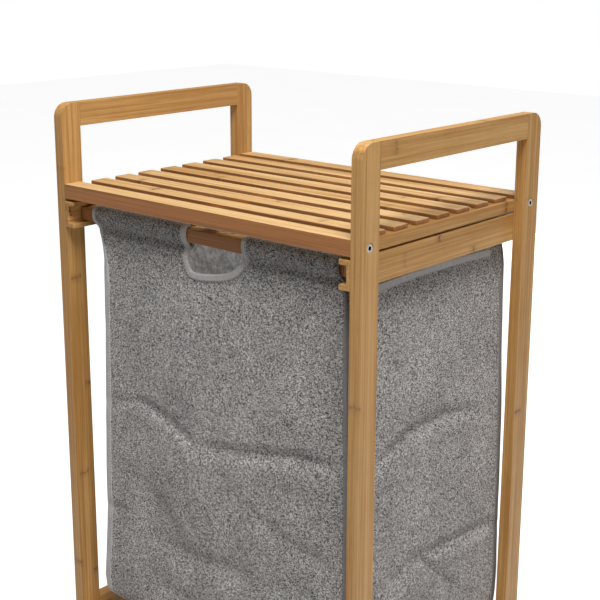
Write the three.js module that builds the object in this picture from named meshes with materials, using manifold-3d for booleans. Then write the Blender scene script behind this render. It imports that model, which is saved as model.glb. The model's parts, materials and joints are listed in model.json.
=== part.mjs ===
// Laundry sorter on wheels: two bamboo end frames joined by a slatted shelf and two base rails, a fabric bag on a
// bar frame that slides out of two C-shaped channels, and four swivel casters, the front two with a brake.
// Millimetres, +Z up, front towards -Y. The origin is on the floor, under the middle of the frame.
import * as THREE from "three";
import { mergeVertices } from "three/addons/utils/BufferGeometryUtils.js";
import Module from "manifold-3d";

// ---- Driving dimensions ----
// Overall
const width = 470; // outside the end frames, along X
const depth = 330; // along Y
const height = 730; // floor to the top of the handles
const seat = 0.3; // gap between two pieces that are glued, screwed or laid together

// End frames
const postThick = 13.8; // along X
const postWide = 28.5; // along Y
const postCornerRadius = 17;
const handleHigh = 28.5;
const endRailHigh = 28.5;

// Shelf
const shelfDrop = 96; // handle top to shelf top
const shelfRailDeep = 24;
const shelfRailHigh = 17.4;
const slatCount = 7;
const slatWide = 24;
const slatThick = 4.7;
const slatEndInset = 4; // from the post's inner face to the slat's end
const battenThick = 14;
const middleBattenWide = 24;
const battenHigh = 13.6;

// Bag frame and its channels
const barWide = 16;
const barHigh = 15.5;
const bagFrameInset = 18.5; // from the front and back planes to the bag frame
const channelDrop = 21; // shelf top to channel top
const channelReach = 15;
const webThick = 5;
const flangeThick = 6;
const slideRoom = 0.7; // around the sleeved bar in its channel
const panelRoom = 1.2; // between the bag's side and the channel's edges
const stopPlay = 0.5; // between a side bar's back end and the end of its groove

// Bag
const clothThick = 1.2;
const sleeveRoom = 0.4; // around a bar inside its sleeve
const sideSleeveShort = 15.5; // from the front and back bars to the side sleeve's end
const frontSleeveShort = 2.4; // from the side bar to the sleeve's end
const bagBottom = 90;
const bagCornerRadius = 6;
const gripCentre = 15; // the hand hole sits a little to the right
const gripWide = 88;
const gripDeep = 37; // below the front bar
const gripRadius = 26;

// Base rails and bolts
const baseRailDeep = 50;
const baseRailHigh = 15;
const boltHeadRadius = 4.7;
const boltHeadHigh = 4.6;
const boltSink = 0.5; // head below the post's face
const boltShankRadius = 2.9;
const boltLength = 40;
const boltRoom = 0.4; // around the head and the shank
const boltEndRoom = 2; // past the shank's end
const socketRadius = 2.4;
const socketDeep = 2.8;

// Casters
const wheelRadius = 16;
const wheelWide = 14;
const tyreThick = 4.7;
const coreChamfer = 1;
const tyreChamfer = 2;
const wheelTopRoom = 3.1; // between the wheel and the rivet over it
const trail = 9; // swivel axis to wheel axis
const casterEdgeX = 21; // from the base rail's end to the swivel axis
const casterEdgeY = 27; // from the front or back plane to the swivel axis
const plateSize = 38;
const plateThick = 2;
const raceRadius = 13;
const raceHigh = 3;
const raceChamfer = 1.5;
const crownRadius = 13.5;
const crownThick = 2.5;
const pinRadius = 3;
const rivetRadius = 5;
const rivetHigh = 1.5;
const legThick = 2;
const legFront = trail - 18; // the legs' front and back edges at the crown
const legBack = trail + 11;
const legFootRadius = 5.5;
const wheelSideRoom = 1.2;
const axleRadius = 2;
const axleHeadRadius = 3.8;
const axleHeadHigh = 1.2;
const bearingRoom = 0.25;
const screwHoleRadius = 2;
const screwHoleEdge = 5;
const pedalPivotY = trail + 6.5;
const pedalPivotZ = 2 * wheelRadius + 2;
const pedalPinRadius = 1.5;
const pedalPinShort = 0.6; // from the fork's outer face to the pin's end
const pedalSideRoom = 0.6;

// ---- Positions that follow from them ----
const halfWidth = width / 2;
const halfDepth = depth / 2;
const crownStack = rivetHigh + seat + crownThick + seat + raceHigh + plateThick + seat;
const casterHigh = 2 * wheelRadius + wheelTopRoom + crownStack; // floor to the underside of the frame
const innerFace = halfWidth - postThick;
const postCentreX = halfWidth - postThick / 2;
const postCentreY = halfDepth - postWide / 2;
const shelfTop = height - shelfDrop;
const slatLow = shelfTop - slatThick;
const battenTop = slatLow - seat;
const sleeveThick = sleeveRoom + clothThick;
const channelOpening = barHigh + 2 * (sleeveThick + slideRoom);
const channelTop = shelfTop - channelDrop;
const channelBottom = channelTop - channelOpening - 2 * flangeThick;
const channelOuter = innerFace - seat;
const webInner = channelOuter - webThick;
const flangeTip = innerFace - channelReach;
const barTop = channelTop - flangeThick - slideRoom - sleeveThick;
const barBottom = barTop - barHigh;
const sideBarOuter = webInner - slideRoom - sleeveThick;
const sideBarInner = sideBarOuter - barWide;
const bagFrameHalf = halfDepth - bagFrameInset;
const sideSleeveHalf = bagFrameHalf - barWide - sideSleeveShort;
const bagMouth = barBottom - sleeveRoom;
const sidePanel = flangeTip - panelRoom;
const frontPanel = bagFrameHalf + sleeveThick;
const baseRailEnd = innerFace - seat;
const shelfBoltZ = shelfTop - shelfRailHigh / 2;
const baseBoltZ = casterHigh + baseRailHigh / 2;
const casterX = baseRailEnd - casterEdgeX;
const casterY = halfDepth - casterEdgeY;
const legInner = wheelWide / 2 + wheelSideRoom;
const legOuter = legInner + legThick;

const wasm = await Module();
wasm.setup();
const cutPast = 5; // how far a cutting solid runs past the faces that it opens

// ---- Materials ----
const finish = (color, roughness, metalness = 0) => () =>
  new THREE.MeshStandardMaterial({ color, roughness, metalness });
const bamboo = finish(0xc99a5c, 0.5);
const paleBamboo = finish(0xdcb67c, 0.5);
const cloth = finish(0x827d79, 0.92);
const boltSteel = finish(0xa8a5a1, 0.35, 0.9);
const zinc = finish(0xb9bcc0, 0.35, 0.9);
const greyPlastic = finish(0xd0d0cc, 0.5);
const tyreRubber = finish(0x3a3a3b, 0.75);
const pedalPlastic = finish(0x8e1f1c, 0.5);

// ---- Solids ----
// A closed geometry as a manifold-3d solid.
function solid(geometry) {
  const bare = geometry.index ? geometry.toNonIndexed() : geometry.clone();
  bare.deleteAttribute("normal");
  bare.deleteAttribute("uv");
  const merged = mergeVertices(bare, 1e-4);
  const vertProperties = merged.attributes.position.array;
  const triVerts = new Uint32Array(merged.index.array);
  return new wasm.Manifold(new wasm.Mesh({ numProp: 3, vertProperties, triVerts }));
}

// A manifold-3d solid as a geometry.
function geometryOf(made) {
  const mesh = made.getMesh();
  const geometry = new THREE.BufferGeometry();
  geometry.setAttribute("position", new THREE.BufferAttribute(new Float32Array(mesh.vertProperties), 3));
  geometry.setIndex(new THREE.BufferAttribute(new Uint32Array(mesh.triVerts), 1));
  geometry.computeVertexNormals();
  return geometry;
}

const join = (first, ...others) => geometryOf(others.reduce((sum, g) => sum.add(solid(g)), solid(first)));
const cut = (first, ...others) => geometryOf(others.reduce((rest, g) => rest.subtract(solid(g)), solid(first)));

function block(low, high) {
  const size = high.map((value, axis) => value - low[axis]);
  const centre = high.map((value, axis) => (value + low[axis]) / 2);
  return new THREE.BoxGeometry(...size).translate(...centre);
}

// A round bar along X, centred at (x, y, z).
function rod(radius, length, x, y, z, sides = 16) {
  return new THREE.CylinderGeometry(radius, radius, length, sides).rotateZ(Math.PI / 2).translate(x, y, z);
}

// A shape drawn in Y and Z, extruded from x0 to x1.
function extrudeX(shape, x0, x1, curveSegments = 6) {
  const geometry = new THREE.ExtrudeGeometry(shape, { depth: x1 - x0, bevelEnabled: false, curveSegments });
  const [x, y, z] = [[1, 0, 0], [0, 1, 0], [0, 0, 1]].map((v) => new THREE.Vector3(...v));
  return geometry.applyMatrix4(new THREE.Matrix4().makeBasis(y, z, x)).translate(x0, 0, 0);
}

// A shape drawn in X and Z, extruded from y0 to y1.
function extrudeY(shape, y0, y1, curveSegments = 6) {
  const geometry = new THREE.ExtrudeGeometry(shape, { depth: y1 - y0, bevelEnabled: false, curveSegments });
  return geometry.rotateX(Math.PI / 2).translate(0, y1, 0);
}

function polygon(points) {
  return new THREE.Shape(points.map(([u, v]) => new THREE.Vector2(u, v)));
}

const group = new THREE.Group();

function add(name, geometry, material, parent = group) {
  const mesh = new THREE.Mesh(geometry, material());
  mesh.name = name;
  parent.add(mesh);
  return mesh;
}

// A straight bar given by its lowest and highest corners, placed by its mesh's position.
function addBar(name, low, high, material) {
  const size = high.map((value, axis) => value - low[axis]);
  const mesh = add(name, new THREE.BoxGeometry(...size), material);
  mesh.position.set(...high.map((value, axis) => (value + low[axis]) / 2));
}

const sides = [["left", -1], ["right", 1]];
const ends = [["front", -1], ["back", 1]];
const ordered = (a, b) => [Math.min(a, b), Math.max(a, b)];

// ---- End frames ----
// The outline of a post: square at its foot, its outer top corner rounded.
function postOutline(end) {
  const outer = end * halfDepth;
  const inner = end * (halfDepth - postWide);
  const arcY = end * (halfDepth - postCornerRadius);
  const arcZ = height - postCornerRadius;
  const shape = new THREE.Shape();
  shape.moveTo(inner, casterHigh);
  shape.lineTo(outer, casterHigh);
  shape.lineTo(outer, arcZ);
  shape.absarc(arcY, arcZ, postCornerRadius, end > 0 ? 0 : Math.PI, Math.PI / 2, end < 0);
  shape.lineTo(inner, height);
  shape.closePath();
  return shape;
}

function post(side, end) {
  const [x0, x1] = ordered(side * innerFace, side * halfWidth);
  const y = end * postCentreY;
  const sunkHead = boltHeadHigh + boltSink + boltRoom;
  const holes = [shelfBoltZ, baseBoltZ].flatMap((z) => [
    rod(boltShankRadius + boltRoom, 2 * postThick, side * postCentreX, y, z),
    rod(boltHeadRadius + boltRoom, 2 * sunkHead, side * halfWidth, y, z, 20),
  ]);
  return cut(extrudeX(postOutline(end), x0, x1, 8), ...holes);
}

for (const [sideName, side] of sides) {
  for (const [endName, end] of ends) add(`post_${endName}_${sideName}`, post(side, end), bamboo);
  const [x0, x1] = ordered(side * innerFace, side * halfWidth);
  const railEnd = halfDepth - postWide - seat;
  addBar(`handle_rail_${sideName}`, [x0, -railEnd, height - handleHigh], [x1, railEnd, height], bamboo);
  addBar(`end_rail_${sideName}`, [x0, -railEnd, casterHigh], [x1, railEnd, casterHigh + endRailHigh], bamboo);
}

// ---- Shelf ----
// A cross rail with a bolt hole in each end.
function crossRail(end, deep, low, high, boltZ) {
  const [y0, y1] = ordered(end * halfDepth, end * (halfDepth - deep));
  const drilled = 2 * (boltLength - postThick + boltEndRoom);
  const holes = sides.map(([, side]) =>
    rod(boltShankRadius + boltRoom, drilled, side * baseRailEnd, end * postCentreY, boltZ));
  return cut(block([-baseRailEnd, y0, low], [baseRailEnd, y1, high]), ...holes);
}

for (const [endName, end] of ends) {
  const shelfRail = crossRail(end, shelfRailDeep, shelfTop - shelfRailHigh, shelfTop, shelfBoltZ);
  add(`shelf_rail_${endName}`, shelfRail, paleBamboo);
  const baseRail = crossRail(end, baseRailDeep, casterHigh, casterHigh + baseRailHigh, baseBoltZ);
  add(`base_rail_${endName}`, baseRail, bamboo);
}

const clearSpan = depth - 2 * shelfRailDeep;
const slatSpace = (clearSpan - slatCount * slatWide) / (slatCount + 1);
const slatHalf = innerFace - slatEndInset;
for (let i = 0; i < slatCount; i++) {
  const y0 = -clearSpan / 2 + slatSpace + i * (slatWide + slatSpace);
  addBar(`slat_${i + 1}`, [-slatHalf, y0, slatLow], [slatHalf, y0 + slatWide, shelfTop], paleBamboo);
}

function addBatten(place, x0, x1) {
  const yEnd = clearSpan / 2 - seat;
  addBar(`batten_${place}`, [x0, -yEnd, battenTop - battenHigh], [x1, yEnd, battenTop], bamboo);
}

addBatten("middle", -middleBattenWide / 2, middleBattenWide / 2);
for (const [sideName, side] of sides) {
  addBatten(sideName, ...ordered(side * (baseRailEnd - battenThick), side * baseRailEnd));
}

// ---- Channels ----
function channelOutline(side) {
  const openLow = channelBottom + flangeThick;
  const openHigh = channelTop - flangeThick;
  return polygon([
    [side * channelOuter, channelBottom],
    [side * channelOuter, channelTop],
    [side * flangeTip, channelTop],
    [side * flangeTip, openHigh],
    [side * webInner, openHigh],
    [side * webInner, openLow],
    [side * flangeTip, openLow],
    [side * flangeTip, channelBottom],
  ]);
}

// A C-shaped channel along Y, its groove stopped behind the side bar's back end.
function channel(side) {
  const [x0, x1] = ordered(side * flangeTip, side * channelOuter);
  const stop = block([x0, bagFrameHalf + stopPlay, channelBottom], [x1, halfDepth, channelTop]);
  return join(extrudeY(channelOutline(side), -halfDepth, halfDepth), stop);
}

for (const [sideName, side] of sides) add(`channel_${sideName}`, channel(side), bamboo);

// ---- Bag frame ----
for (const [sideName, side] of sides) {
  const [x0, x1] = ordered(side * sideBarInner, side * sideBarOuter);
  addBar(`bag_bar_${sideName}`, [x0, -bagFrameHalf, barBottom], [x1, bagFrameHalf, barTop], bamboo);
}
for (const [endName, end] of ends) {
  const [y0, y1] = ordered(end * (bagFrameHalf - barWide), end * bagFrameHalf);
  const x1 = sideBarInner - seat;
  addBar(`bag_bar_${endName}`, [-x1, y0, barBottom], [x1, y1, barTop], bamboo);
}

// ---- Bag ----
// Each level gives the cloth's outer face: left, right, front and back, from the mouth down, in from or out past the
// straight panels. The bag hangs a little to the right, draws in under its left side bar, spreads again towards the
// bottom and turns in over a rounded floor.
const bagLevels = [
  { z: bagMouth, left: -sidePanel, right: sidePanel, front: -frontPanel, back: frontPanel },
  { z: bagMouth - 16, left: -sidePanel + 19, right: sidePanel, front: -frontPanel, back: frontPanel },
  { z: bagMouth - 42, left: -sidePanel + 25, right: sidePanel + 3, front: -frontPanel, back: frontPanel + 1 },
  { z: bagMouth - 130, left: -sidePanel + 23, right: sidePanel + 5, front: -frontPanel - 1, back: frontPanel + 2 },
  { z: bagMouth - 280, left: -sidePanel + 20, right: sidePanel + 6, front: -frontPanel - 1, back: frontPanel + 2 },
  { z: bagBottom + 60, left: -sidePanel + 14, right: sidePanel + 8, front: -frontPanel - 1, back: frontPanel + 2 },
  { z: bagBottom + 24, left: -sidePanel + 10, right: sidePanel + 8, front: -frontPanel - 1, back: frontPanel + 2 },
  { z: bagBottom + 6, left: -sidePanel + 13, right: sidePanel + 5, front: -frontPanel + 2, back: frontPanel - 1 },
  { z: bagBottom, left: -sidePanel + 21, right: sidePanel - 3, front: -frontPanel + 10, back: frontPanel - 9 },
];

// The closed ring of points of one level, counter-clockwise seen from above.
function ringPoints({ left, right, front, back }, inset) {
  const radius = bagCornerRadius - inset / 2;
  const arcs = [[right, back, 0], [left, back, 1], [left, front, 2], [right, front, 3]];
  return arcs.flatMap(([x, y, quarter]) => {
    const cx = x - Math.sign(x) * (radius + inset);
    const cy = y - Math.sign(y) * (radius + inset);
    return [0, 1, 2].map((step) => {
      const angle = ((quarter + step / 2) * Math.PI) / 2;
      return [cx + radius * Math.cos(angle), cy + radius * Math.sin(angle)];
    });
  });
}

// A closed solid through the levels, drawn in by the inset and closed by a fan at each end.
function loft(levels, inset) {
  const rings = levels.map((level) => ringPoints(level, inset).map(([x, y]) => [x, y, level.z]));
  const count = rings[0].length;
  const caps = [levels[0], levels.at(-1)].map((end) => [
    (end.left + end.right) / 2, (end.front + end.back) / 2, end.z,
  ]);
  const positions = [...rings.flat(), ...caps].flat();
  const [topCentre, bottomCentre] = [rings.length * count, rings.length * count + 1];
  const lastRing = (rings.length - 1) * count;
  const index = [];
  for (let i = 0; i < count; i++) {
    const next = (i + 1) % count;
    index.push(topCentre, i, next);
    index.push(bottomCentre, lastRing + next, lastRing + i);
    for (let row = 0; row < rings.length - 1; row++) {
      const upper = row * count;
      const lower = upper + count;
      index.push(upper + i, lower + i, lower + next);
      index.push(upper + i, lower + next, upper + next);
    }
  }
  const geometry = new THREE.BufferGeometry();
  geometry.setAttribute("position", new THREE.Float32BufferAttribute(positions, 3));
  geometry.setIndex(index);
  return geometry;
}

// The loop of cloth round a bar: a box round the bar with the bar's own space cut through it along the axis.
function sleeve(low, high, axis) {
  const grown = (grow, along) => [
    low.map((value, i) => value - (i === axis ? along : grow)),
    high.map((value, i) => value + (i === axis ? along : grow)),
  ];
  return cut(block(...grown(sleeveThick, 0)), block(...grown(sleeveRoom, cutPast)));
}

function gripOutline() {
  const left = gripCentre - gripWide / 2;
  const right = gripCentre + gripWide / 2;
  const low = barBottom - gripDeep;
  const arcZ = low + gripRadius;
  const above = barTop + 2 * sleeveThick;
  const shape = new THREE.Shape();
  shape.moveTo(right, above);
  shape.lineTo(left, above);
  shape.lineTo(left, arcZ);
  shape.absarc(left + gripRadius, arcZ, gripRadius, Math.PI, 1.5 * Math.PI, false);
  shape.lineTo(right - gripRadius, low);
  shape.absarc(right - gripRadius, arcZ, gripRadius, 1.5 * Math.PI, 2 * Math.PI, false);
  shape.closePath();
  return shape;
}

function bag() {
  const inside = bagLevels.map((level) => ({ ...level }));
  inside[0].z += cutPast;
  inside.at(-1).z += clothThick;
  const shell = cut(loft(bagLevels, 0), loft(inside, clothThick));
  const sideSleeves = sides.map(([, side]) => {
    const [x0, x1] = ordered(side * sideBarInner, side * sideBarOuter);
    return sleeve([x0, -sideSleeveHalf, barBottom], [x1, sideSleeveHalf, barTop], 1);
  });
  const crossSleeves = ends.map(([, end]) => {
    const [y0, y1] = ordered(end * (bagFrameHalf - barWide), end * bagFrameHalf);
    const x1 = sideBarInner - frontSleeveShort;
    return sleeve([-x1, y0, barBottom], [x1, y1, barTop], 0);
  });
  const sewn = join(shell, ...sideSleeves, ...crossSleeves);
  const behindFrontBar = -bagFrameHalf + barWide + 2 * sleeveThick;
  return cut(sewn, extrudeY(gripOutline(), -halfDepth, behindFrontBar));
}

add("bag", bag(), cloth);

// ---- Bolts ----
// A socket-head bolt along X: head at the origin facing +X, shank towards -X.
function bolt() {
  const profile = [
    [0, 0],
    [boltHeadRadius, 0],
    [boltHeadRadius, -boltHeadHigh],
    [boltShankRadius, -boltHeadHigh],
    [boltShankRadius, -boltLength],
    [0, -boltLength],
  ].reverse().map(([r, y]) => new THREE.Vector2(r, y));
  const turned = new THREE.LatheGeometry(profile, 18).rotateZ(-Math.PI / 2);
  return cut(turned, rod(socketRadius, 2 * socketDeep, 0, 0, 0, 6));
}

for (const [sideName, side] of sides) {
  for (const [endName, end] of ends) {
    for (const [levelName, z] of [["shelf", shelfBoltZ], ["base", baseBoltZ]]) {
      const mesh = add(`bolt_${levelName}_${endName}_${sideName}`, bolt(), boltSteel);
      mesh.position.set(side * (halfWidth - boltSink), end * postCentreY, z);
      mesh.rotation.z = side > 0 ? 0 : Math.PI;
    }
  }
}

// ---- Casters ----
const plateTop = casterHigh - seat;
const plateLow = plateTop - plateThick;
const raceLow = plateLow - raceHigh;
const crownTop = raceLow - seat;
const crownLow = crownTop - crownThick;
const rivetTop = crownLow - seat;

// The screwed plate with the upper race and the riveted king pin that the fork turns on.
function casterPlate() {
  const half = plateSize / 2;
  const flat = block([-half, -half, plateLow], [half, half, plateTop]);
  const profile = [
    [0, rivetTop - rivetHigh],
    [rivetRadius, rivetTop - rivetHigh],
    [rivetRadius, rivetTop],
    [pinRadius, rivetTop],
    [pinRadius, raceLow],
    [raceRadius - raceChamfer, raceLow],
    [raceRadius, raceLow + raceChamfer],
    [raceRadius, plateLow + plateThick / 2],
    [0, plateLow + plateThick / 2],
  ].map(([r, y]) => new THREE.Vector2(r, y));
  const race = new THREE.LatheGeometry(profile, 24).rotateX(Math.PI / 2);
  const hole = half - screwHoleEdge;
  const holes = [-hole, hole].flatMap((x) => [-hole, hole].map((y) =>
    new THREE.CylinderGeometry(screwHoleRadius, screwHoleRadius, 4 * plateThick, 10)
      .rotateX(Math.PI / 2).translate(x, y, plateTop)));
  return cut(join(flat, race), ...holes);
}

// The fork: a crown with the king pin's hole, and a leg each side of the wheel that trails back to the axle.
function casterFork(withBrake) {
  const crown = new THREE.CylinderGeometry(crownRadius, crownRadius, crownThick, 24)
    .rotateX(Math.PI / 2).translate(0, 0, (crownTop + crownLow) / 2);
  const leg = new THREE.Shape();
  leg.moveTo(legFront, crownTop);
  leg.lineTo(trail - legFootRadius, wheelRadius);
  leg.absarc(trail, wheelRadius, legFootRadius, Math.PI, 2 * Math.PI, false);
  leg.lineTo(legBack, crownTop);
  leg.closePath();
  const legs = sides.map(([, side]) => extrudeX(leg, ...ordered(side * legInner, side * legOuter), 8));
  const pinHole = new THREE.CylinderGeometry(pinRadius + bearingRoom, pinRadius + bearingRoom, 4 * crownThick, 16)
    .rotateX(Math.PI / 2).translate(0, 0, crownTop);
  const holes = [pinHole, rod(axleRadius + bearingRoom, 4 * legOuter, 0, trail, wheelRadius)];
  if (withBrake) holes.push(rod(pedalPinRadius + bearingRoom, 4 * legOuter, 0, pedalPivotY, pedalPivotZ, 12));
  return cut(join(crown, ...legs), ...holes);
}

function casterAxle() {
  const pin = legOuter + seat;
  const heads = sides.map(([, side]) =>
    rod(axleHeadRadius, axleHeadHigh, side * (pin + axleHeadHigh / 2), 0, 0));
  return join(rod(axleRadius, 2 * pin + axleHeadHigh, 0, 0, 0), ...heads);
}

// A ring about X, from the inner to the outer radius, with its outer edges taken off by the chamfer.
function wheelRing(inner, outer, wide, chamfer, steps) {
  const half = wide / 2;
  const profile = [
    [inner, -half],
    [outer - chamfer, -half],
    [outer, -half + chamfer],
    [outer, half - chamfer],
    [outer - chamfer, half],
    [inner, half],
    [inner, -half],
  ].map(([r, y]) => new THREE.Vector2(r, y));
  return new THREE.LatheGeometry(profile, steps).rotateZ(-Math.PI / 2);
}

// The brake pedal between the fork's legs: a toe lever with a lobe over the tyre, on two short pins.
function brakePedal() {
  const aroundPivot = [
    [-3.3, -1.3], // heel, low
    [0.5, -2.4],
    [4, -4.4], // the lobe that grips the tyre
    [6.5, -3],
    [15.5, -1], // toe
    [15.5, 1.6],
    [6.5, 1.8],
    [1.5, 2.4],
    [-3.3, 1.9],
  ];
  const outline = polygon(aroundPivot.map(([y, z]) => [pedalPivotY + y, pedalPivotZ + z]));
  const half = legInner - pedalSideRoom;
  const pinLong = 2 * (legOuter - pedalPinShort);
  return join(extrudeX(outline, -half, half), rod(pedalPinRadius, pinLong, 0, pedalPivotY, pedalPivotZ, 12));
}

for (const [sideName, side] of sides) {
  for (const [endName, end] of ends) {
    const place = `${endName}_${sideName}`;
    const caster = new THREE.Group();
    caster.position.set(side * casterX, end * casterY, 0);
    group.add(caster);
    add(`caster_plate_${place}`, casterPlate(), zinc, caster);
    add(`caster_fork_${place}`, casterFork(end < 0), zinc, caster);
    const wheel = new THREE.Group();
    wheel.position.set(0, trail, wheelRadius);
    caster.add(wheel);
    add(`caster_axle_${place}`, casterAxle(), zinc, wheel);
    const coreRadius = wheelRadius - tyreThick;
    const core = wheelRing(axleRadius + bearingRoom, coreRadius - seat, wheelWide, coreChamfer, 24);
    add(`wheel_core_${place}`, core, greyPlastic, wheel);
    const tyre = wheelRing(coreRadius, wheelRadius, wheelWide, tyreChamfer, 32);
    add(`wheel_tyre_${place}`, tyre, tyreRubber, wheel);
    if (end < 0) add(`brake_pedal_${place}`, brakePedal(), pedalPlastic, caster);
  }
}

export default group;
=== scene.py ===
"""The looks of a laundry sorter on wheels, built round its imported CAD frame.

Metres, +Z up, front towards -Y. Every piece stands in the frame's own coordinates, its object at the origin.
"""
import json
import math
import random
from functools import cache

import bmesh
import bpy
import numpy as np
from bpy.props import FloatProperty, FloatVectorProperty, IntProperty
from mathutils import Matrix, Vector, noise


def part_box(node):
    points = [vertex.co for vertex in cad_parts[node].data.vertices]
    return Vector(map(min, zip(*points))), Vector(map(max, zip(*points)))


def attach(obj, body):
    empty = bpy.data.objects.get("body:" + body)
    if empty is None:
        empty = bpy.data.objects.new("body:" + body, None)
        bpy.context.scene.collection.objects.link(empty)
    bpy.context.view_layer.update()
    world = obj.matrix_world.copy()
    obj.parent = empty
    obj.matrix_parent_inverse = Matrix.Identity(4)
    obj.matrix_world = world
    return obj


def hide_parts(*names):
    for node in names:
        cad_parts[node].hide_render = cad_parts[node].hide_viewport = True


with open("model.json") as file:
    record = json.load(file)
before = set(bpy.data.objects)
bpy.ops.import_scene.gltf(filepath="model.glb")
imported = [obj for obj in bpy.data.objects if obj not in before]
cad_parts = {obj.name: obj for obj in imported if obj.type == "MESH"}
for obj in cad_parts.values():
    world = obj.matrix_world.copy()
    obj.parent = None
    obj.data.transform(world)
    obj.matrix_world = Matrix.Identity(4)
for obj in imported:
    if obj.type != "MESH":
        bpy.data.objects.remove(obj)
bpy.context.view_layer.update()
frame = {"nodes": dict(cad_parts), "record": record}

bl_info = {
    "name": "Laundry Sorter on Wheels",
    "version": (1, 0, 0),
    "blender": (4, 5, 0),
    "location": "3D View > Sidebar > Sorter",
    "description": "Builds a bamboo laundry sorter with a pull-out cloth bag, round its CAD frame",
    "category": "Add Mesh",
}

MM = 0.001
WELD = 1e-6  # points nearer than this are one point
SIDES = ("left", "right")
ENDS = ("front", "back")
CORNERS = [f"{end}_{side}" for end in ENDS for side in SIDES]
BODY_OF = {node: body for body, nodes in frame["record"]["behaviour"]["bodies"].items() for node in nodes}


# ---- Settings ----
class SorterBamboo(bpy.types.PropertyGroup):
    """Sizes and colours of the bamboo"""

    ease: FloatProperty(
        name="Eased Edge", description="Radius of the rails' edges", default=1.6 * MM, unit="LENGTH"
    )
    slat_ease: FloatProperty(
        name="Slat Edge", description="Radius of the slats' edges", default=0.8 * MM, unit="LENGTH"
    )
    strip: FloatProperty(
        name="Strip Width", description="Width of one laminated strip", default=6.4 * MM, unit="LENGTH"
    )
    knuckles: FloatProperty(
        name="Knuckle Spacing", description="From knuckle to knuckle", default=0.26, unit="LENGTH"
    )
    pale: FloatVectorProperty(
        name="Pale", description="Pale strips", subtype="COLOR", default=(0.60, 0.35, 0.130)
    )
    tan: FloatVectorProperty(
        name="Tan", description="Deeper strips", subtype="COLOR", default=(0.42, 0.20, 0.052)
    )
    brown: FloatVectorProperty(
        name="Brown", description="Knuckles", subtype="COLOR", default=(0.15, 0.055, 0.016)
    )
    # The upright faces' colour: partly a deeper colour of the cut faces, partly painted shade.
    deep: FloatVectorProperty(
        name="Deep", description="Sawn sides", subtype="COLOR", default=(0.43, 0.140, 0.032)
    )


class SorterCloth(bpy.types.PropertyGroup):
    """Sizes and colours of the bag's cloth"""

    girth: FloatProperty(name="Girth", description="Flat cloth round the bag", default=1.43, unit="LENGTH")
    tall: FloatProperty(
        name="Cut Height", description="Flat cloth from floor to sleeve", default=0.64, unit="LENGTH"
    )
    thick: FloatProperty(name="Thickness", description="With its coating", default=0.8 * MM, unit="LENGTH")
    pitch: FloatProperty(name="Yarn Pitch", description="From yarn to yarn", default=0.8 * MM, unit="LENGTH")
    tape: FloatProperty(
        name="Seam Tape", description="Width of the tape at a corner", default=12 * MM, unit="LENGTH"
    )
    stitch: FloatProperty(name="Stitch", description="From stitch to stitch", default=3.8 * MM, unit="LENGTH")
    dark: FloatVectorProperty(
        name="Dark Yarn", description="Darkest", subtype="COLOR", default=(0.035, 0.032, 0.030)
    )
    grey: FloatVectorProperty(
        name="Grey Yarn", description="Usual", subtype="COLOR", default=(0.36, 0.335, 0.32)
    )
    light: FloatVectorProperty(
        name="Light Yarn", description="Lightest", subtype="COLOR", default=(0.80, 0.765, 0.74)
    )


class SorterStage(bpy.types.PropertyGroup):
    """Camera and lights"""

    azimuth: FloatProperty(
        name="Azimuth", description="Round from the front", default=math.radians(41.055), subtype="ANGLE"
    )
    pitch: FloatProperty(
        name="Pitch", description="Down from level", default=math.radians(14.431), subtype="ANGLE"
    )
    roll: FloatProperty(
        name="Roll", description="About the line of sight", default=math.radians(-0.176), subtype="ANGLE"
    )
    place: FloatVectorProperty(
        name="Place", description="Of the camera", subtype="XYZ", default=(0.9696, -1.0994, 0.9156)
    )
    lens: FloatProperty(name="Lens", description="Focal length in millimetres", default=75.25)
    shift: FloatProperty(name="Shift", description="Of the lens, upright", default=-0.0567)
    key: FloatProperty(name="Key Light", description="High at the right", default=62, unit="POWER")
    side: FloatProperty(name="Side Light", description="Low at the right", default=11, unit="POWER")
    top: FloatProperty(name="Top Light", description="Overhead", default=9, unit="POWER")
    fill: FloatProperty(name="Fill Light", description="In front", default=5, unit="POWER")
    back: FloatProperty(name="Back Light", description="Low behind", default=22, unit="POWER")
    sky: FloatProperty(name="Sky", description="Strength of the light from all round", default=0.13)
    floor_squares: IntProperty(name="Floor Squares", description="Squares along the floor's side", default=8)


# ---- Meshes ----
def finished(name, bm, body, materials, nodes=(), angle=35):
    """A bmesh as a finished piece on a body, with smooth shading up to an angle."""
    mesh = bpy.data.meshes.new(name)
    bm.to_mesh(mesh)
    bm.free()
    for skin in materials:
        mesh.materials.append(skin)
    mesh.shade_smooth()
    mesh.set_sharp_from_angle(angle=math.radians(angle))
    piece = bpy.data.objects.new(name, mesh)
    bpy.context.scene.collection.objects.link(piece)
    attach(piece, body)
    if nodes:
        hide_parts(*nodes)
    return piece


def copy_of(node):
    """A CAD node's mesh as a clean bmesh, its flat faces whole."""
    bm = bmesh.new()
    bm.from_mesh(frame["nodes"][node].data)
    bmesh.ops.remove_doubles(bm, verts=bm.verts, dist=WELD)
    bmesh.ops.dissolve_limit(bm, angle_limit=math.radians(1), verts=bm.verts, edges=bm.edges)
    return bm


def ease_edges(bm, radius, segments=3, least=25, keep=None):
    """Rounds every edge that turns more than the least angle, in degrees, but for those that keep keeps."""
    sharp = [e for e in bm.edges if len(e.link_faces) == 2 and e.calc_face_angle(0) > math.radians(least)]
    if keep:
        sharp = [e for e in sharp if not keep(e)]
    how = {"segments": segments, "profile": 0.5, "affect": "EDGES", "material": -1, "clamp_overlap": True}
    bmesh.ops.bevel(bm, geom=sharp, offset=radius, **how)


def face_outward(bm):
    """Turns every face away from the bag's middle line."""
    bmesh.ops.recalc_face_normals(bm, faces=bm.faces)
    outward = (f.normal.dot(f.calc_center_median() * Vector((1, 1, 0))) * f.calc_area() for f in bm.faces)
    if sum(outward) < 0:
        bmesh.ops.reverse_faces(bm, faces=bm.faces)


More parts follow.
